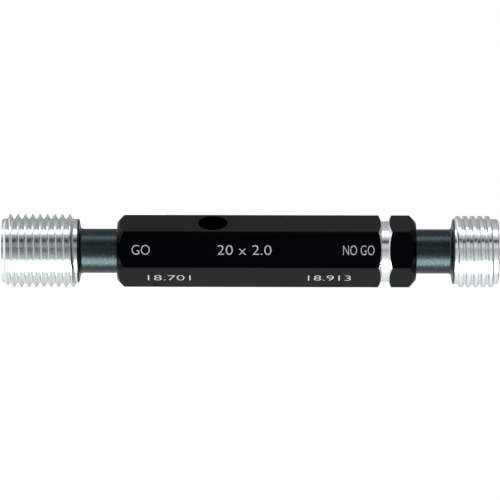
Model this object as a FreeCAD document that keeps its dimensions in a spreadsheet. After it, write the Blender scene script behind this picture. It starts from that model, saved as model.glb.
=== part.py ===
"""Double-ended thread plug gauge for an M20 x 2 internal thread, built as a parametric FreeCAD document.

Three pieces come apart on a bench: a hexagonal handle, the GO gauging member and the NO-GO gauging
member.  Each member is one ground piece: screw plug, neck and a slow taper shank that wedges in the
handle's taper socket.  The handle has a turned ring groove that marks the NO-GO side, a bore between
the two sockets and a cross hole through which the GO member is drifted out.

Frame: the gauge stands on its GO end.  +Z is the common axis, the origin is the middle of the GO
end face, and the flat of the handle that carries the marks faces -Y.  Lengths are in millimetres.
"""

import FreeCAD, Part
import Sketcher
import os

from FreeCAD import Placement, Rotation, Vector

SIZES = {
    # Thread form, shared by both members
    "thread_pitch": 2.0,
    "flank_half_angle": 30.0,
    # GO member: full form thread, whose first turn is cut back by a 45 degree nose cone
    "go_major_diameter": 20.0,
    "go_root_diameter": 17.4,
    "go_crest_flat": 0.25,
    "go_thread_start": -0.19,  # height of the crest's middle on the +Y side, where the ridge begins
    "go_thread_turns": 10,
    "go_head_length": 21.05,
    "go_nose_collar": 0.72,
    "go_nose_chamfer": 0.35,
    "go_rear_chamfer": 0.35,
    "go_rear_cone": 1.5,  # how far above the root the rear cone reaches, on radius
    "go_neck_length": 10.15,
    # NO-GO member: short thread with truncated crests, so that only the pitch diameter gauges
    "nogo_major_diameter": 19.3,
    "nogo_root_diameter": 17.6,
    "nogo_crest_flat": 0.777,
    "nogo_thread_start": 1.46,
    "nogo_thread_turns": 5,
    "nogo_head_length": 12.4,
    "nogo_nose_collar": 0.4,
    "nogo_nose_chamfer": 0.3,
    "nogo_rear_chamfer": 0.64,
    "nogo_rear_cone": 1.2,
    "nogo_neck_length": 9.8,
    # Both members
    "nose_relief": 0.06,  # how far the nose is turned below the thread's root, on radius
    "root_overlap": 0.15,  # how far the thread's ridge is sunk into the blank, on radius
    "facing_stock": 1.5,  # metal before the end face that is faced off with the nose
    "shoulder_cone": 0.8,  # 45 degree cone where the neck meets the shoulder, on radius
    "neck_diameter": 12.0,
    "shank_length": 21.5,
    "shank_taper": 0.02,  # loss of diameter for each unit of length, a 1 in 50 taper
    "shank_chamfer": 0.5,
    "centre_cone_diameter": 4.25,
    "centre_pilot_diameter": 2.0,
    "centre_pilot_length": 2.0,
    "centre_half_angle": 30.0,
    "drill_tip_half_angle": 59.0,
    # Handle
    "handle_length": 80.6,
    "hex_flats": 17.0,
    "hex_corner_radius": 0.5,
    "face_diameter": 15.8,
    "face_edge_ease": 0.21,  # length taken off each side of the edge round the end faces
    "ring_place": 72.2,  # middle of the ring groove, from the handle's GO face
    "ring_width": 1.9,
    "ring_diameter": 16.3,
    "ring_wall_angle": 26.0,
    "drift_place": 25.8,  # axis of the cross hole, from the handle's GO face
    "drift_diameter": 8.0,
    "bore_diameter": 7.0,
    "socket_end_gap": 0.5,
}

CUTS = ("PartDesign::Groove", "PartDesign::Pocket")
CLEAR = 1.0  # how far a cutting profile stands out of the metal
TOUCH = 1e-6  # two measures closer than this are the same

document = FreeCAD.newDocument("thread_plug_gauge")


def make_sheet():
    """The driving dimensions, one aliased row each."""
    sheet = document.addObject("Spreadsheet::Sheet", "Sizes")
    for row, (name, value) in enumerate(SIZES.items(), start=1):
        sheet.set(f"A{row}", name)
        sheet.set(f"B{row}", str(value))
        sheet.setAlias(f"B{row}", name)
    document.recompute()
    return sheet


def bound(text):
    """An expression in which every driving dimension is read from the sheet."""
    words = text.split()
    return " ".join(f"Sizes.{word}" if word in SIZES else word for word in words)


def origin_plane(body, role):
    """One of the body's own origin planes."""
    return next(part for part in body.Origin.OriginFeatures if part.Role == role)


def new_sketch(body, name, role):
    """An empty sketch on one of the body's origin planes."""
    sketch = body.newObject("Sketcher::SketchObject", name)
    sketch.AttachmentSupport = [(origin_plane(body, role), "")]
    sketch.MapMode = "FlatFace"
    return sketch


def add_distance(sketch, kind, name, vertex, text):
    """Hold a vertex at a bound distance from the sketch's origin, along one of its axes."""
    value = float(sketch.evalExpression(text))
    index = sketch.addConstraint(Sketcher.Constraint(kind, -1, 1, vertex, 1, value))
    sketch.renameConstraint(index, name)
    sketch.setExpression(f"Constraints.{name}", text)


def profile(body, name, corners, role="XZ_Plane"):
    """A closed outline of straight lines in an upright plane: (radius, height) of each corner, as text."""
    sketch = new_sketch(body, name, role)
    texts = [(bound(radius), bound(height)) for radius, height in corners]
    points = [Vector(float(sketch.evalExpression(r)), float(sketch.evalExpression(h)), 0) for r, h in texts]
    count = len(points)
    for index in range(count):
        sketch.addGeometry(Part.LineSegment(points[index], points[(index + 1) % count]))
    for index in range(count):
        sketch.addConstraint(Sketcher.Constraint("Coincident", index, 2, (index + 1) % count, 1))
    for index, (radius, height) in enumerate(texts):
        if radius == "0":
            sketch.addConstraint(Sketcher.Constraint("PointOnObject", index, 1, -2))
        else:
            add_distance(sketch, "DistanceX", f"radius_{index}", index, radius)
        if height == "0":
            sketch.addConstraint(Sketcher.Constraint("PointOnObject", index, 1, -1))
        else:
            add_distance(sketch, "DistanceY", f"height_{index}", index, height)
    return sketch


def turn(body, kind, name, sketch):
    """Turn a profile once round the body's axis, adding metal (Revolution) or cutting it (Groove)."""
    feature = body.newObject(f"PartDesign::{kind}", name)
    feature.Profile = sketch
    feature.ReferenceAxis = (sketch, ["V_Axis"])
    feature.Angle = 360
    document.recompute()
    return feature


def fillet(body, name, radius, chosen):
    """Round the edges of the body's last feature that the test picks out."""
    base = body.Tip
    names = [f"Edge{n}" for n, edge in enumerate(base.Shape.Edges, start=1) if chosen(edge)]
    if not names:
        raise RuntimeError(f"{name}: no edge to round")
    feature = body.newObject("PartDesign::Fillet", name)
    feature.Base = (base, names)
    feature.setExpression("Radius", bound(radius))
    document.recompute()
    return feature


def is_upright(edge):
    """Whether an edge is a straight line along Z."""
    return isinstance(edge.Curve, Part.Line) and abs(abs(edge.Curve.Direction.z) - 1) < TOUCH


def member(name, side):
    """A gauging member standing on its end face: screw plug, neck and taper shank in one piece."""
    body = document.addObject("PartDesign::Body", name)
    body.Label = name
    major = f"{side}_major_diameter / 2"
    root = f"{side}_root_diameter / 2"
    head = f"{side}_head_length"
    neck = "neck_diameter / 2"
    mouth = f"( {head} + {side}_neck_length )"
    end = f"( {mouth} + shank_length )"
    shank_tip = "( neck_diameter - shank_taper * shank_length ) / 2"
    outside = f"{major} + {CLEAR}"

    blank = profile(
        body,
        f"{name}_section",
        [
            ("0", "0 - facing_stock"),
            (root, "0 - facing_stock"),
            (root, head),
            (f"{neck} + shoulder_cone", head),
            (neck, f"{head} + shoulder_cone"),
            (neck, mouth),
            (f"{shank_tip} + shank_taper * shank_chamfer / 2", f"{end} - shank_chamfer"),
            (f"{shank_tip} - shank_chamfer", end),
            ("0", end),
        ],
    )
    turn(body, "Revolution", f"{name}_blank", blank)

    # The thread is one ridge of the full section, swept up a right-hand helix from the +Y side.
    spread = f"{side}_crest_flat / 2 + ( {major} - {root} + root_overlap ) * tan( flank_half_angle * 1deg )"
    foot = f"{root} - root_overlap"
    middle = f"{side}_thread_start"
    ridge = profile(
        body,
        f"{name}_ridge_section",
        [
            (foot, f"{middle} - ( {spread} )"),
            (major, f"{middle} - {side}_crest_flat / 2"),
            (major, f"{middle} + {side}_crest_flat / 2"),
            (foot, f"{middle} + {spread}"),
        ],
        role="YZ_Plane",
    )
    thread = body.newObject("PartDesign::AdditiveHelix", f"{name}_thread")
    thread.Profile = ridge
    thread.ReferenceAxis = (ridge, ["V_Axis"])
    thread.Mode = "pitch-height-angle"
    thread.HasBeenEdited = True
    thread.setExpression("Pitch", bound("thread_pitch"))
    thread.setExpression("Height", bound(f"thread_pitch * {side}_thread_turns"))
    document.recompute()

    # The nose is faced and turned through the first turn of thread, with its centre hole.
    nose = f"{root} - nose_relief"
    chamfer = f"{side}_nose_chamfer"
    collar = f"{side}_nose_collar"
    pilot = "centre_pilot_diameter / 2"
    cone_depth = "( centre_cone_diameter - centre_pilot_diameter ) / 2 / tan( centre_half_angle * 1deg )"
    pilot_end = f"{cone_depth} + centre_pilot_length"
    below = f"0 - facing_stock - {CLEAR}"
    corners = [
        ("0", below),
        (outside, below),
        (outside, f"{collar} + {outside} - ( {nose} )"),
        (nose, collar),
        (nose, chamfer),
        (f"{nose} - {chamfer}", "0"),
        ("centre_cone_diameter / 2", "0"),
        (pilot, cone_depth),
        (pilot, pilot_end),
        ("0", f"{pilot_end} + {pilot} / tan( drill_tip_half_angle * 1deg )"),
    ]
    turn(body, "Groove", f"{name}_nose", profile(body, f"{name}_nose_section", corners))

    # The rear corner is chamfered, through the last turn where the cone reaches that far.
    cone = f"{side}_rear_cone"
    rear = f"{side}_rear_chamfer"
    past = "shoulder_cone / 2"
    corners = [
        (f"{root} - {rear} - {past}", f"{head} + {past}"),
        (f"{root} + {cone}", f"{head} - {rear} - {cone}"),
        (outside, f"{head} - {rear} - {cone}"),
        (outside, f"{head} + {past}"),
    ]
    turn(body, "Groove", f"{name}_rear", profile(body, f"{name}_rear_section", corners))
    return body


def hexagon(body, name):
    """A regular hexagon round the origin, with two corners on the X axis."""
    sketch = new_sketch(body, name, "XY_Plane")
    text = bound("hex_flats / 2 / cos( 30deg )")
    radius = float(sketch.evalExpression(text))
    corners = [Rotation(Vector(0, 0, 1), 60 * n).multVec(Vector(radius, 0, 0)) for n in range(6)]
    for index in range(6):
        sketch.addGeometry(Part.LineSegment(corners[index], corners[(index + 1) % 6]))
    circle = sketch.addGeometry(Part.Circle(Vector(0, 0, 0), Vector(0, 0, 1), radius), True)
    sketch.addConstraint(Sketcher.Constraint("Coincident", circle, 3, -1, 1))
    for index in range(6):
        sketch.addConstraint(Sketcher.Constraint("Coincident", index, 2, (index + 1) % 6, 1))
        sketch.addConstraint(Sketcher.Constraint("PointOnObject", index, 1, circle))
    for index in range(1, 6):
        sketch.addConstraint(Sketcher.Constraint("Equal", 0, index))
    sketch.addConstraint(Sketcher.Constraint("Horizontal", 1))
    size = sketch.addConstraint(Sketcher.Constraint("Radius", circle, radius))
    sketch.renameConstraint(size, "corner_radius")
    sketch.setExpression("Constraints.corner_radius", text)
    return sketch


def make_handle():
    """The hexagonal handle, with z = 0 on its GO face."""
    body = document.addObject("PartDesign::Body", "handle")
    body.Label = "handle"
    bar = body.newObject("PartDesign::Pad", "handle_bar")
    bar.Profile = hexagon(body, "handle_hexagon")
    bar.setExpression("Length", bound("handle_length"))
    document.recompute()
    fillet(body, "handle_corners", "hex_corner_radius", is_upright)

    # Both ends are turned to a 45 degree cone, and the edge of each end face is eased.
    face = "face_diameter / 2"
    outside = f"( hex_flats / 2 / cos( 30deg ) + {CLEAR} )"
    ease = "face_edge_ease * sin( 45deg )"
    for place, height, inward in (("go", "0", "+"), ("nogo", "handle_length", "-")):
        corners = [
            (f"{face} - face_edge_ease", height),
            (outside, height),
            (outside, f"{height} {inward} ( {outside} - {face} )"),
            (f"{face} + {ease}", f"{height} {inward} {ease}"),
        ]
        turn(body, "Groove", f"handle_{place}_cone", profile(body, f"handle_{place}_cone_section", corners))

    # The ring groove that marks the NO-GO side
    depth = f"( {outside} - ring_diameter / 2 )"
    flare = f"{depth} * tan( ring_wall_angle * 1deg )"
    corners = [
        ("ring_diameter / 2", "ring_place - ring_width / 2"),
        ("ring_diameter / 2", "ring_place + ring_width / 2"),
        (outside, f"ring_place + ring_width / 2 + {flare}"),
        (outside, f"ring_place - ring_width / 2 - {flare}"),
    ]
    turn(body, "Groove", "handle_ring", profile(body, "handle_ring_section", corners))

    # A taper socket in each end, joined by a bore
    socket_depth = "( shank_length + socket_end_gap )"
    floor = f"( neck_diameter - shank_taper * {socket_depth} ) / 2"
    corners = [
        ("0", "0"),
        ("neck_diameter / 2", "0"),
        (floor, socket_depth),
        ("bore_diameter / 2", socket_depth),
        ("bore_diameter / 2", f"handle_length - {socket_depth}"),
        (floor, f"handle_length - {socket_depth}"),
        ("neck_diameter / 2", "handle_length"),
        ("0", "handle_length"),
    ]
    turn(body, "Groove", "handle_sockets", profile(body, "handle_sockets_section", corners))

    # The drift hole crosses the bar between two opposite flats, a flat away from the marked one.
    sketch = new_sketch(body, "handle_drift_circle", "XZ_Plane")
    sketch.AttachmentOffset = Placement(Vector(0, 0, 0), Rotation(Vector(0, 1, 0), -60))
    centre = Vector(0, SIZES["drift_place"], 0)
    circle = sketch.addGeometry(Part.Circle(centre, Vector(0, 0, 1), SIZES["drift_diameter"] / 2))
    sketch.addConstraint(Sketcher.Constraint("PointOnObject", circle, 3, -2))
    height = sketch.addConstraint(
        Sketcher.Constraint("DistanceY", -1, 1, circle, 3, SIZES["drift_place"])
    )
    sketch.renameConstraint(height, "place")
    sketch.setExpression("Constraints.place", bound("drift_place"))
    size = sketch.addConstraint(Sketcher.Constraint("Diameter", circle, SIZES["drift_diameter"]))
    sketch.renameConstraint(size, "diameter")
    sketch.setExpression("Constraints.diameter", bound("drift_diameter"))
    hole = body.newObject("PartDesign::Pocket", "handle_drift_hole")
    hole.Profile = sketch
    hole.Type = "ThroughAll"
    hole.Midplane = True
    document.recompute()
    return body


def assemble(go_gauge, handle, nogo_gauge):
    """Stand the pieces on one another along Z, the NO-GO member turned over at the top."""
    handle_foot = "go_head_length + go_neck_length"
    top = f"{handle_foot} + handle_length + nogo_neck_length + nogo_head_length"
    handle.setExpression("Placement.Base.z", bound(handle_foot))
    nogo_gauge.Placement = Placement(Vector(0, 0, 0), Rotation(Vector(0, 1, 0), 180))
    nogo_gauge.setExpression("Placement.Base.z", bound(top))
    document.recompute()


def check_document(bodies):
    """Stop if any object failed, any cut removed nothing, or any piece isn't one sound solid."""
    for item in document.Objects:
        if "Invalid" in item.State or "Error" in item.State:
            raise RuntimeError(f"{item.Name} failed: {item.State}")
        if item.TypeId in CUTS and item.Shape.Volume >= item.BaseFeature.Shape.Volume - TOUCH:
            raise RuntimeError(f"{item.Name} cuts nothing")
    for body in bodies:
        shape = body.Shape
        if shape.isNull() or not shape.isValid() or len(shape.Solids) != 1:
            raise RuntimeError(f"{body.Label} isn't one sound solid")


def write_pieces(bodies):
    """Write each piece to parts/, under its own label."""
    os.makedirs("parts", exist_ok=True)
    for body in bodies:
        body.Shape.exportStep(f"parts/{body.Label}.step")
        box = body.Shape.BoundBox
        print(f"{body.Label}: {body.Shape.Volume:.1f} mm3, z {box.ZMin:.2f} to {box.ZMax:.2f}")




make_sheet()
go_member = member("go_gauge", "go")
nogo_member = member("nogo_gauge", "nogo")
hex_handle = make_handle()
assemble(go_member, hex_handle, nogo_member)
pieces = [hex_handle, go_member, nogo_member]
check_document(pieces)
write_pieces(pieces)
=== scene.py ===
"""Dresses the double-ended thread plug gauge: ground screw plugs, blackened necks and hexagonal handle.

The gauge stands on its GO end along +Z.  The marked flat of the handle faces -Y, which is the side
that the camera looks at, with the camera rolled so that +Z runs to the right.
"""

import logging
import math
from dataclasses import dataclass
from enum import Enum
from typing import Iterable, Optional, Sequence, Union

import bmesh
import bpy
from mathutils import Matrix, Vector

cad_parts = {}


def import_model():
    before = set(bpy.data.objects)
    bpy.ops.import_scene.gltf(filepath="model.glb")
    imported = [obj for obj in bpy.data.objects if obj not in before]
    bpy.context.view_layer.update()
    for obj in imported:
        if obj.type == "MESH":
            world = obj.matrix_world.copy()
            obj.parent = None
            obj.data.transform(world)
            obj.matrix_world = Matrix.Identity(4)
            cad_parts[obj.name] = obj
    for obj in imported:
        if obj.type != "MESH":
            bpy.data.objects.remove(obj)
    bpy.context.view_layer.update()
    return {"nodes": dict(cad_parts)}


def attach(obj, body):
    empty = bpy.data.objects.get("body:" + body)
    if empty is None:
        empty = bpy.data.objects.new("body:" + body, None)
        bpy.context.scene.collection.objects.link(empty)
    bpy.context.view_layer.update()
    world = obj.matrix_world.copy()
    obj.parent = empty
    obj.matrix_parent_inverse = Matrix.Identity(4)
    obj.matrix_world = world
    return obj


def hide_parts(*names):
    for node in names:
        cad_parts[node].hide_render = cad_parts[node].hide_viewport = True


LOG = logging.getLogger("thread_plug_gauge")
MM = 0.001
Point = tuple[float, float]
Colour = tuple[float, float, float, float]


class End(Enum):
    """Which end of the gauge a member belongs to."""

    GO = "go"
    NOGO = "nogo"


# ---------------------------------------------------------------------------
# Shader expressions
# ---------------------------------------------------------------------------


class Wire:
    """A shader value that is written as a Python expression."""

    def __init__(self, graph: "Graph", socket: bpy.types.NodeSocket) -> None:
        """Wrap an output socket of a graph's node."""
        self.graph = graph
        self.socket = socket

    def _math(self, operation: str, *others: "Value") -> "Wire":
        """Add a Math node that works on this value and the others."""
        return self.graph.add("ShaderNodeMath", {"operation": operation}, dict(enumerate([self, *others])))

    def __add__(self, other: "Value") -> "Wire":
        """Return the sum."""
        return self._math("ADD", other)

    __radd__ = __add__

    def __sub__(self, other: "Value") -> "Wire":
        """Return the difference."""
        return self._math("SUBTRACT", other)

    def __rsub__(self, other: float) -> "Wire":
        """Return a number less this value."""
        return self.graph.add("ShaderNodeMath", {"operation": "SUBTRACT"}, {0: other, 1: self})

    def __mul__(self, other: "Value") -> "Wire":
        """Return the product."""
        return self._math("MULTIPLY", other)

    def above(self, edge: float, width: float) -> "Wire":
        """Return a step that rises from 0 to 1 round an edge.

        Args:
            edge: the value in the middle of the step.
            width: the step's width.
        """
        values = {"Value": self, "From Min": edge - width / 2, "From Max": edge + width / 2}
        return self.graph.add("ShaderNodeMapRange", {"interpolation_type": "SMOOTHSTEP"}, values)

    def root(self) -> "Wire":
        """Return the square root."""
        return self._math("SQRT")

    def size(self) -> "Wire":
        """Return the value without its sign."""
        return self._math("ABSOLUTE")

    def turned_from(self, other: "Value") -> "Wire":
        """Return the angle whose tangent is this value over the other, in radians."""
        return self._math("ARCTAN2", other)


Value = Union[Wire, float, Sequence[float]]


def grey(level: float) -> Colour:
    """Return the opaque grey of a level."""
    return (level, level, level, 1.0)


class Graph:
    """The nodes of a material or of the world."""

    def __init__(self, tree: bpy.types.NodeTree) -> None:
        """Work on that node tree."""
        self.nodes = tree.nodes
        self.links = tree.links

    def node_of(self, kind: str) -> bpy.types.Node:
        """Return the tree's first node of a type."""
        return next(node for node in self.nodes if node.type == kind)

    def add(
        self,
        kind: str,
        settings: Optional[dict[str, object]] = None,
        values: Optional[dict[Union[int, str], Value]] = None,
        output: Union[int, str] = 0,
    ) -> Wire:
        """Add a node.

        Args:
            kind: the node's type.
            settings: the node's own settings, set first.
            values: what its sockets are set or linked to.
            output: the output that is wanted.

        Returns:
            The wanted output.
        """
        node = self.nodes.new(kind)
        for name, setting in (settings or {}).items():
            setattr(node, name, setting)
        for name, value in (values or {}).items():
            self.feed(node, name, value)
        return Wire(self, node.outputs[output])

    def feed(self, node: bpy.types.Node, name: Union[int, str], value: Value) -> None:
        """Link a value to a node's socket, or set the socket to a constant."""
        if isinstance(value, Wire):
            self.links.new(value.socket, node.inputs[name])
        else:
            node.inputs[name].default_value = value

    def mix(self, factor: Value, first: Value, second: Value) -> Wire:
        """Mix two colours and return the result."""
        values: dict[Union[int, str], Value] = {0: factor, 6: first, 7: second}
        return self.add("ShaderNodeMix", {"data_type": "RGBA"}, values, 2)


class Finish(Graph):
    """One material, with a Principled shader at its end."""

    def __init__(self, name: str) -> None:
        """Start a material with that name."""
        self.material = bpy.data.materials.new(name)
        self.material.use_nodes = True
        super().__init__(self.material.node_tree)
        self.shader = self.node_of("BSDF_PRINCIPLED")

    def dress(self, **sockets: Value) -> None:
        """Set or link the Principled shader's sockets, with _ for a space in their names."""
        for name, value in sockets.items():
            self.feed(self.shader, name.replace("_", " "), value)

    def place(self) -> dict[str, Wire]:
        """Return the place on the gauge, in millimetres, as X, Y and Z."""
        where = self.add("ShaderNodeTexCoord", output="Object")
        return {
            axis: self.add("ShaderNodeSeparateXYZ", values={0: where}, output=axis) * (1 / MM)
            for axis in "XYZ"
        }


# ---------------------------------------------------------------------------
# Sizes
# ---------------------------------------------------------------------------


@dataclass(frozen=True)
class ScrewPlug:
    """Sizes of one gauging member from its end face to its neck, in millimetres."""

    end: End
    node: str
    major: float
    root: float
    nose: float
    crest_flat: float
    thread_start: float
    turns: int
    head: float
    nose_chamfer: float
    nose_collar: float
    rear_chamfer: float
    rear_cone: float
    neck_length: float
    nose_relief: float = 0.2
    shoulder_inset: float = 0.05
    shoulder_fall: float = 0.25
    fillet: float = 0.8
    pitch: float = 2.0
    flank_angle: float = 30.0
    ridge_sink: float = 0.15
    ridge_least: float = 0.25
    neck: float = 6.0
    shank_length: float = 21.5
    shank_tip: float = 5.785
    centre_cone: float = 2.125
    cone_depth: float = 1.95
    centre_pilot: float = 1.0
    pilot_depth: float = 3.95
    drill_depth: float = 4.55
    crest_edge: float = 0.03
    crest_round: float = 0.6

    @property
    def flank(self) -> float:
        """Return the axial run of a flank for each unit of depth."""
        return math.tan(math.radians(self.flank_angle))

    def envelope(self, height: float) -> float:
        """Return the radius that the turned nose and rear cone leave at a height."""
        nose = self.nose + max(0.0, height - self.nose_collar)
        limit = self.head - self.rear_chamfer
        rear = self.root + max(0.0, limit - height)
        if height < self.nose_collar:
            nose = self.nose - self.nose_relief
        if rear - self.root > self.rear_cone:
            rear = self.major
        return min(nose, rear, self.major)


@dataclass(frozen=True)
class BarHandle:
    """Sizes of the hexagonal handle, in millimetres, and its ring groove's wall, in degrees."""

    node: str = "handle"
    foot: float = 31.2
    flats: float = 17.0
    ring_place: float = 72.2
    ring_bottom: float = 1.9
    ring_radius: float = 8.15
    ring_wall: float = 26.0


GO_PLUG = ScrewPlug(
    end=End.GO,
    node="go_gauge",
    major=10.0,
    root=8.7,
    nose=8.64,
    crest_flat=0.25,
    thread_start=-0.19,
    turns=10,
    head=21.05,
    nose_chamfer=0.35,
    nose_collar=0.72,
    rear_chamfer=0.35,
    rear_cone=1.5,
    neck_length=10.15,
)
NOGO_PLUG = ScrewPlug(
    end=End.NOGO,
    node="nogo_gauge",
    major=9.65,
    root=8.8,
    nose=8.74,
    crest_flat=0.777,
    thread_start=1.46,
    turns=5,
    head=12.4,
    nose_chamfer=0.3,
    nose_collar=0.4,
    rear_chamfer=0.3,
    rear_cone=1.2,
    neck_length=9.8,
)
OVERALL = 134.0


# ---------------------------------------------------------------------------
# Meshes
# ---------------------------------------------------------------------------


def arc(centre: Point, radius: float, start: float, stop: float, steps: int) -> list[Point]:
    """Return points along an arc.

    Args:
        centre: the arc's centre.
        radius: its radius.
        start: its first angle, in degrees.
        stop: its last angle, in degrees.
        steps: how many chords it has.
    """
    angles = [math.radians(start + (stop - start) * n / steps) for n in range(steps + 1)]
    return [(centre[0] + radius * math.cos(a), centre[1] + radius * math.sin(a)) for a in angles]


def lathe(mesh: bmesh.types.BMesh, outline: Iterable[Point], steps: int = 192) -> None:
    """Turn an outline of (radius, height) once round the Z axis.

    Args:
        mesh: the bmesh that gets the shape.
        outline: the points from the axis to the axis.
        steps: how many chords the round has.
    """
    verts = [mesh.verts.new((radius, 0.0, height)) for radius, height in outline]
    edges = [mesh.edges.new(pair) for pair in zip(verts, verts[1:])]
    bmesh.ops.spin(
        mesh,
        geom=verts + edges,
        cent=(0, 0, 0),
        axis=(0, 0, 1),
        angle=math.tau,
        steps=steps,
        use_merge=True,
    )
    on_axis = [vert for vert in mesh.verts if math.hypot(vert.co.x, vert.co.y) < 1e-6]
    bmesh.ops.remove_doubles(mesh, verts=on_axis, dist=1e-5)


def finish_mesh(mesh: bmesh.types.BMesh, name: str, crease: float = 24.0) -> bpy.types.Object:
    """Turn a bmesh in millimetres into a smooth-shaded object in metres.

    Args:
        mesh: the finished bmesh, which is freed.
        name: the piece's name.
        crease: the angle in degrees above which an edge stays sharp.

    Returns:
        The linked object.
    """
    bmesh.ops.recalc_face_normals(mesh, faces=mesh.faces[:])
    for face in mesh.faces:
        face.smooth = True
    for edge in mesh.edges:
        edge.smooth = edge.calc_face_angle(0.0) < math.radians(crease)
    bmesh.ops.scale(mesh, vec=(MM, MM, MM), verts=mesh.verts[:])
    data = bpy.data.meshes.new(name)
    mesh.to_mesh(data)
    mesh.free()
    piece = bpy.data.objects.new(name, data)
    bpy.context.scene.collection.objects.link(piece)
    LOG.info("%s: %d faces", name, len(data.polygons))
    return piece


class Plug:
    """One gauging member: a turned body with a screw ridge wound round it."""

    STEPS = 144
    FILLET_STEPS = 8
    FLANK_STEPS = 14

    def __init__(self, sizes: ScrewPlug) -> None:
        """Keep the member's sizes."""
        self.sizes = sizes

    def body_outline(self) -> list[Point]:
        """Return the turned body's outline from the centre hole to the end of the shank."""
        s = self.sizes
        shoulder = s.head - s.shoulder_inset
        top = s.head + s.neck_length
        bend = (s.neck + s.fillet, shoulder + s.shoulder_fall + s.fillet)
        return [
            (0.0, s.drill_depth),
            (s.centre_pilot, s.pilot_depth),
            (s.centre_pilot, s.cone_depth),
            (s.centre_cone, 0.0),
            (s.nose - s.nose_chamfer, 0.0),
            (s.nose, s.nose_chamfer),
            (s.nose, s.nose_collar),
            (s.root, s.nose_collar + s.root - s.nose),
            (s.root, shoulder - s.rear_chamfer),
            (s.root - s.rear_chamfer, shoulder),
            *arc(bend, s.fillet, -90.0, -180.0, self.FILLET_STEPS),
            (s.neck, top),
            (s.shank_tip, top + s.shank_length),
            (0.0, top + s.shank_length),
        ]

    def ridge_outline(self) -> list[Point]:
        """Return the thread ridge's section, with eased crest edges and divided flanks."""
        s = self.sizes
        foot = s.root - s.ridge_sink
        half = s.crest_flat / 2
        spread = half + (s.major - foot) * s.flank
        ease = s.crest_edge
        lower = [
            (foot, -spread),
            (s.major - ease, -half - ease * s.flank),
            (s.major, -half + ease * s.crest_round),
        ]
        upper = [(radius, -height) for radius, height in reversed(lower)]
        return self.divided(lower[:2]) + [lower[2], upper[0]] + self.divided(upper[1:])

    def divided(self, points: Sequence[Point]) -> list[Point]:
        """Return a straight flank cut into equal parts."""
        (r0, h0), (r1, h1) = points
        parts = [n / self.FLANK_STEPS for n in range(self.FLANK_STEPS + 1)]
        return [(r0 + (r1 - r0) * part, h0 + (h1 - h0) * part) for part in parts]

    def add_ridge(self, mesh: bmesh.types.BMesh) -> None:
        """Wind the thread ridge from the +Y side and turn it down to the nose and rear cones."""
        s = self.sizes
        outline = self.ridge_outline()
        verts = [mesh.verts.new((0.0, radius, s.thread_start + height)) for radius, height in outline]
        edges = [mesh.edges.new(pair) for pair in zip(verts, verts[1:] + verts[:1])]
        bmesh.ops.spin(
            mesh,
            geom=edges,
            cent=(0, 0, 0),
            axis=(0, 0, 1),
            dvec=(0, 0, s.pitch / self.STEPS),
            angle=math.tau,
            steps=self.STEPS,
        )
        turn = mesh.verts[:] + mesh.edges[:] + mesh.faces[:]
        for number in range(1, s.turns):
            copy = bmesh.ops.duplicate(mesh, geom=turn)
            moved = [item for item in copy["geom"] if isinstance(item, bmesh.types.BMVert)]
            bmesh.ops.translate(mesh, vec=(0, 0, s.pitch * number), verts=moved)
        bmesh.ops.remove_doubles(mesh, verts=mesh.verts[:], dist=1e-4)
        bmesh.ops.holes_fill(mesh, edges=[edge for edge in mesh.edges if edge.is_boundary])
        for vert in mesh.verts:
            radius = math.hypot(vert.co.x, vert.co.y)
            height = max(vert.co.z, s.ridge_least)
            limit = min(radius, s.envelope(height))
            vert.co = Vector((vert.co.x * limit / radius, vert.co.y * limit / radius, height))

    def build(self) -> bpy.types.Object:
        """Make the member in its place on the gauge.

        Returns:
            The object that stands for the member's solid.
        """
        s = self.sizes
        mesh = bmesh.new()
        self.add_ridge(mesh)
        lathe(mesh, self.body_outline())
        if s.end is End.NOGO:
            turned = Matrix.Translation((0, 0, OVERALL)) @ Matrix.Rotation(math.pi, 4, "Y")
            bmesh.ops.transform(mesh, matrix=turned, verts=mesh.verts[:])
        piece = finish_mesh(mesh, f"{s.end.value}_screw_plug")
        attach(piece, "root")
        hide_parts(s.node)
        return piece


# ---------------------------------------------------------------------------
# Finishes
# ---------------------------------------------------------------------------


@dataclass(frozen=True)
class BareSteel:
    """Bright turned or ground steel."""

    colour: Colour = (0.82, 0.86, 0.865, 1.0)
    roughness: float = 0.16


@dataclass(frozen=True)
class BlackOxide:
    """Steel blackened in an oxide bath and oiled: a dark mirror with no light of its own."""

    colour: Colour = (0.0032, 0.0044, 0.0055, 1.0)
    roughness: float = 0.2
    neck_colour: Colour = (0.035, 0.050, 0.052, 1.0)
    neck_roughness: float = 0.3
    speck: Colour = (0.16, 0.2, 0.2, 1.0)
    speck_share: float = 0.6
    head_overlap: float = 0.5
    edge_width: float = 0.06


@dataclass(frozen=True)
class Grain:
    """The fine unevenness of a member's surface: its noise, its specks and its effect on gloss."""

    scale: float = 2200.0
    detail: float = 3.0
    roughness: float = 0.65
    speck_from: float = 0.64
    speck_width: float = 0.12
    unevenness: float = 0.25

    def draw(self, finish: Finish) -> Wire:
        """Add the noise to a finish and return its height."""
        where = finish.add("ShaderNodeTexCoord", output="Object")
        values = {
            "Vector": where,
            "Scale": self.scale,
            "Detail": self.detail,
            "Roughness": self.roughness,
        }
        return finish.add("ShaderNodeTexNoise", values=values)


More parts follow.
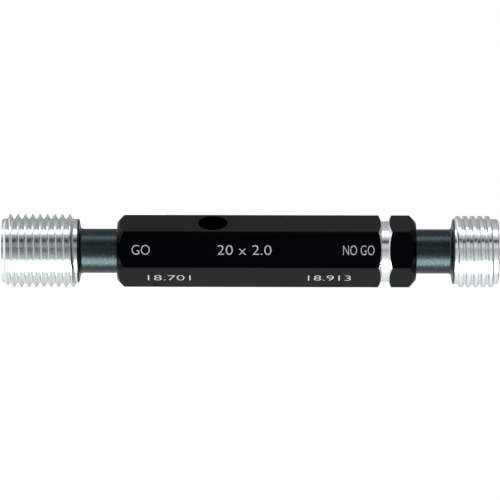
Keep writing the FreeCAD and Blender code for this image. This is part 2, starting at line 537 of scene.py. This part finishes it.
def member_finish(sizes: ScrewPlug, steel: BareSteel, black: BlackOxide) -> bpy.types.Material:
    """Make a member's finish: ground up to the back of the plug, blackened from there on."""
    finish = Finish(f"{sizes.end.value}_member_finish")
    height = finish.place()["Z"]
    along = height if sizes.end is End.GO else OVERALL - height
    dark = along.above(sizes.head - black.head_overlap, black.edge_width)
    grain = Grain()
    noise = grain.draw(finish)
    speck = noise.above(grain.speck_from, grain.speck_width) * dark
    colour = finish.mix(dark, steel.colour, black.neck_colour)
    rough = steel.roughness + dark * (black.neck_roughness - steel.roughness)
    finish.dress(
        Base_Color=finish.mix(speck * black.speck_share, colour, black.speck),
        Metallic=1.0,
        Roughness=rough + (noise - 0.5) * grain.unevenness,
    )
    return finish.material


@dataclass(frozen=True)
class TurnedEdge:
    """The eased edges of the handle, and how far the bright turning reaches, in millimetres."""

    bevel: float = 0.1
    bevel_samples: int = 6
    reach: float = 0.035
    width: float = 0.02


def handle_finish(sizes: BarHandle, steel: BareSteel, black: BlackOxide) -> bpy.types.Material:
    """Make the handle's finish: blackened, with the ring groove turned bright afterwards."""
    edge = TurnedEdge()
    finish = Finish("handle_finish")
    place = finish.place()
    radius = (place["X"] * place["X"] + place["Y"] * place["Y"]).root()
    off_ring = (place["Z"] - (sizes.foot + sizes.ring_place)).size()
    slope = math.tan(math.radians(sizes.ring_wall))
    wall = sizes.ring_bottom / 2 + (radius - sizes.ring_radius) * slope
    bright = 1.0 - (off_ring - wall).above(edge.reach, edge.width)
    bevel = finish.add("ShaderNodeBevel", {"samples": edge.bevel_samples}, {"Radius": edge.bevel * MM})
    finish.dress(
        Base_Color=finish.mix(bright, black.colour, steel.colour),
        Metallic=1.0,
        Roughness=black.roughness + bright * (steel.roughness - black.roughness),
        Normal=bevel,
    )
    return finish.material


def marking_finish() -> bpy.types.Material:
    """Make the finish of the engraved lines, where bare steel shows through the black."""
    finish = Finish("engraved_line")
    finish.dress(Base_Color=(0.55, 0.58, 0.58, 1.0), Metallic=0.5, Roughness=0.5)
    return finish.material


# ---------------------------------------------------------------------------
# Lettering
# ---------------------------------------------------------------------------


class Flat(Enum):
    """Which flat of the handle is engraved, by its angle in degrees from -Y towards +X."""

    FRONT = 0.0
    LOWER = 60.0


@dataclass(frozen=True)
class Marking:
    """One engraved word or number: its text, flat, middle along Z and reach, in millimetres.

    The thinning is how much the font's strokes lose, as a share of its size.
    """

    name: str
    words: str
    flat: Flat
    middle: float
    reach: float
    tall: float = 2.6
    stand: float = 0.006
    thinning: float = -0.014

    def build(self, bar: BarHandle, finish: bpy.types.Material) -> bpy.types.Object:
        """Lay the characters on their flat.

        Args:
            bar: the handle that carries them.
            finish: the material of the engraved lines.

        Returns:
            The object with the characters' faces.
        """
        curve = bpy.data.curves.new(self.name, "FONT")
        curve.body = self.words
        curve.offset = self.thinning
        drawn = bpy.data.objects.new(self.name, curve)
        mesh = bmesh.new()
        mesh.from_mesh(drawn.to_mesh())
        drawn.to_mesh_clear()
        low = Vector([min(vert.co[axis] for vert in mesh.verts) for axis in range(3)])
        high = Vector([max(vert.co[axis] for vert in mesh.verts) for axis in range(3)])
        span = high - low
        turn = math.radians(self.flat.value)
        normal = Vector((math.sin(turn), -math.cos(turn), 0.0))
        along = Vector((0.0, 0.0, 1.0))
        up = normal.cross(along)
        seat = normal * (bar.flats / 2 + self.stand) + along * self.middle
        for vert in mesh.verts:
            across = ((vert.co.x - low.x) / span.x - 0.5) * self.reach
            rise = ((vert.co.y - low.y) / span.y - 0.5) * self.tall
            vert.co = seat + along * across + up * rise
        bpy.data.objects.remove(drawn)
        piece = finish_mesh(mesh, self.name)
        piece.data.materials.append(finish)
        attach(piece, "root")
        return piece


MARKINGS = (
    Marking("go_word", "GO", Flat.FRONT, 37.7, 4.8),
    Marking("nominal_size", "20 x 2.0", Flat.FRONT, 65.5, 14.5),
    Marking("nogo_word", "NO GO", Flat.FRONT, 96.2, 8.4),
    Marking("go_pitch_size", "18.701", Flat.LOWER, 45.3, 11.5),
    Marking("nogo_pitch_size", "18.913", Flat.LOWER, 88.4, 11.5),
)


# ---------------------------------------------------------------------------
# Stage
# ---------------------------------------------------------------------------


@dataclass(frozen=True)
class Surround:
    """What bright metal mirrors all round the gauge, by the angle from the camera towards +X.

    Each stop is (angle in degrees, level at the GO end, level at the NO-GO end).
    """

    stops: tuple[tuple[float, float, float], ...] = (
        (-180.0, 0.55, 0.55),
        (-140.0, 0.36, 0.40),
        (-92.0, 0.42, 0.60),
        (-84.0, 0.50, 0.55),
        (-80.0, 0.80, 1.10),
        (-62.0, 0.85, 1.20),
        (-54.0, 0.45, 0.90),
        (-42.0, 0.08, 0.40),
        (-37.0, 0.01, 0.02),
        (-31.0, 0.01, 0.02),
        (-26.0, 0.20, 0.75),
        (-14.0, 0.26, 0.90),
        (-8.0, 0.08, 0.55),
        (2.0, 0.08, 0.55),
        (8.0, 0.18, 0.65),
        (34.0, 0.60, 0.95),
        (40.0, 2.60, 2.60),
        (82.0, 2.60, 2.60),
        (88.0, 0.60, 0.60),
        (92.0, 1.00, 1.00),
        (150.0, 0.80, 0.80),
        (180.0, 0.55, 0.55),
    )
    plain_level: float = 0.6
    above: float = 0.3
    below: float = 1.0
    end_change: float = 0.14
    cap_from: float = 0.45
    cap_change: float = 0.5


@dataclass(frozen=True)
class SoftBox:
    """A lamp: its angle from the camera towards +X in degrees, size in metres, and watts."""

    name: str
    angle: float
    size: Point
    power: float
    distance: float = 0.8


@dataclass(frozen=True)
class CameraPlace:
    """Where the camera stands, in metres and degrees."""

    turn: float = 1.8
    roll: float = 0.12
    height: float = 0.06702
    rise: float = 0.0003
    distance: float = 1.04
    lens: float = 277.0
    sensor: float = 36.0
    far: float = 50.0


SOFT_BOXES = (
    SoftBox("upper_box", -70.0, (0.22, 1.2), 1.5),
    SoftBox("lower_box", 61.0, (0.5, 1.2), 10.0),
)
BENCH_REACH = 2000.0
BENCH_GREY = 0.9
BENCH_GLOW = 0.6


def bench_finish() -> bpy.types.Material:
    """Make the bench: white to the camera, with the gauge's soft shadow left on it."""
    finish = Finish("bench_white")
    finish.dress(Base_Color=grey(BENCH_GREY), Roughness=0.9)
    path = finish.add("ShaderNodeLightPath", output="Is Camera Ray")
    glow = finish.add("ShaderNodeEmission", values={"Strength": path * BENCH_GLOW})
    both = finish.add("ShaderNodeAddShader", values={0: Wire(finish, finish.shader.outputs[0]), 1: glow})
    finish.links.new(both.socket, finish.node_of("OUTPUT_MATERIAL").inputs["Surface"])
    return finish.material


class Studio:
    """The floor, the backdrop light, the lamps and the camera."""

    def floor(self) -> bpy.types.Object:
        """Lay the pale floor under the GO end."""
        mesh = bmesh.new()
        bmesh.ops.create_grid(mesh, x_segments=1, y_segments=1, size=BENCH_REACH)
        piece = finish_mesh(mesh, "bench_top")
        piece.data.materials.append(bench_finish())
        piece.visible_glossy = False
        return piece

    def backdrop(self, surround: Surround) -> None:
        """Light the world: white to the camera, banded soft boxes to gloss, and even to the rest."""
        world = bpy.data.worlds.new("plain_light")
        bpy.context.scene.world = world
        world.use_nodes = True
        graph = Graph(world.node_tree)
        way = graph.add("ShaderNodeTexCoord", output="Generated")
        part = {axis: graph.add("ShaderNodeSeparateXYZ", values={0: way}, output=axis) for axis in "XYZ"}
        angle = part["X"].turned_from(part["Y"] * -1.0) * (1 / math.tau) + 0.5
        ends = [self.ramp(graph, angle, surround, column) for column in (1, 2)]
        level = graph.mix(part["Z"].above(0.0, surround.end_change), *ends)
        for up, cap in ((part["Z"], surround.above), (part["Z"] * -1.0, surround.below)):
            level = graph.mix(up.above(surround.cap_from, surround.cap_change), level, grey(cap))
        glossy = graph.add("ShaderNodeLightPath", output="Is Glossy Ray")
        camera = graph.add("ShaderNodeLightPath", output="Is Camera Ray")
        level = graph.mix(glossy, grey(surround.plain_level), level)
        level = graph.mix(camera, level, grey(1.0))
        graph.feed(graph.node_of("BACKGROUND"), "Color", level)

    @staticmethod
    def ramp(graph: Graph, angle: Wire, surround: Surround, column: int) -> Wire:
        """Add the ramp of levels for one end of the gauge.

        Args:
            graph: the world's nodes.
            angle: the direction round Z, as a share of a full turn.
            surround: what is mirrored.
            column: which level of each stop is used.

        Returns:
            The ramp's colour.
        """
        wire = graph.add("ShaderNodeValToRGB", values={0: angle})
        stops = wire.socket.node.color_ramp.elements
        first, *rest = surround.stops
        stops.remove(stops[1])
        stops[0].position = 0.0
        stops[0].color = grey(first[column])
        for stop in rest:
            added = stops.new(stop[0] / 360.0 + 0.5)
            added.color = grey(stop[column])
        return wire

    def hang(self, box: SoftBox) -> None:
        """Hang a soft box level with the middle of the gauge and turn it to face that middle."""
        data = bpy.data.lights.new(box.name, "AREA")
        data.shape = "RECTANGLE"
        data.size, data.size_y = box.size
        data.energy = box.power
        middle = Vector((0, 0, OVERALL / 2 * MM))
        turn = math.radians(box.angle)
        away = Vector((math.sin(turn), -math.cos(turn), 0))
        lamp = bpy.data.objects.new(box.name, data)
        lamp.location = middle + away * box.distance
        lamp.rotation_euler = (-away).to_track_quat("-Z", "Y").to_euler()
        bpy.context.scene.collection.objects.link(lamp)

    def camera(self, stand: CameraPlace) -> None:
        """Set the camera opposite the marked flat, rolled so that +Z runs to the right."""
        data = bpy.data.cameras.new("camera")
        data.sensor_width = stand.sensor
        data.lens = stand.lens
        data.clip_end = stand.far
        camera = bpy.data.objects.new("camera", data)
        turn = math.radians(stand.turn)
        away = Vector((math.sin(turn), -math.cos(turn), 0))
        right = Vector((0, 0, 1))
        up = away.cross(right)
        place = right * stand.height + away * stand.distance + up * stand.rise
        roll = Matrix.Rotation(math.radians(stand.roll), 4, "Z")
        basis = Matrix((right, up, away)).transposed().to_4x4() @ roll
        camera.matrix_world = Matrix.Translation(place) @ basis
        bpy.context.scene.collection.objects.link(camera)
        bpy.context.scene.camera = camera

    def build(self) -> None:
        """Set up the whole stage."""
        self.floor()
        self.backdrop(Surround())
        for box in SOFT_BOXES:
            self.hang(box)
        self.camera(CameraPlace())


def main() -> None:
    """Load the gauge, dress it, and set up the floor, the world light, both soft boxes and the camera."""
    logging.basicConfig(level=logging.INFO, format="%(message)s")
    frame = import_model()
    steel, black = BareSteel(), BlackOxide()
    for sizes in (GO_PLUG, NOGO_PLUG):
        plug = Plug(sizes).build()
        plug.data.materials.append(member_finish(sizes, steel, black))
    handle = BarHandle()
    bar = frame["nodes"][handle.node]
    bar.data.materials.clear()
    bar.data.materials.append(handle_finish(handle, steel, black))
    engraved = marking_finish()
    for marking in MARKINGS:
        marking.build(handle, engraved)
    Studio().build()
    bpy.context.scene.view_settings.view_transform = "Standard"


if __name__ == "__main__":
    main()
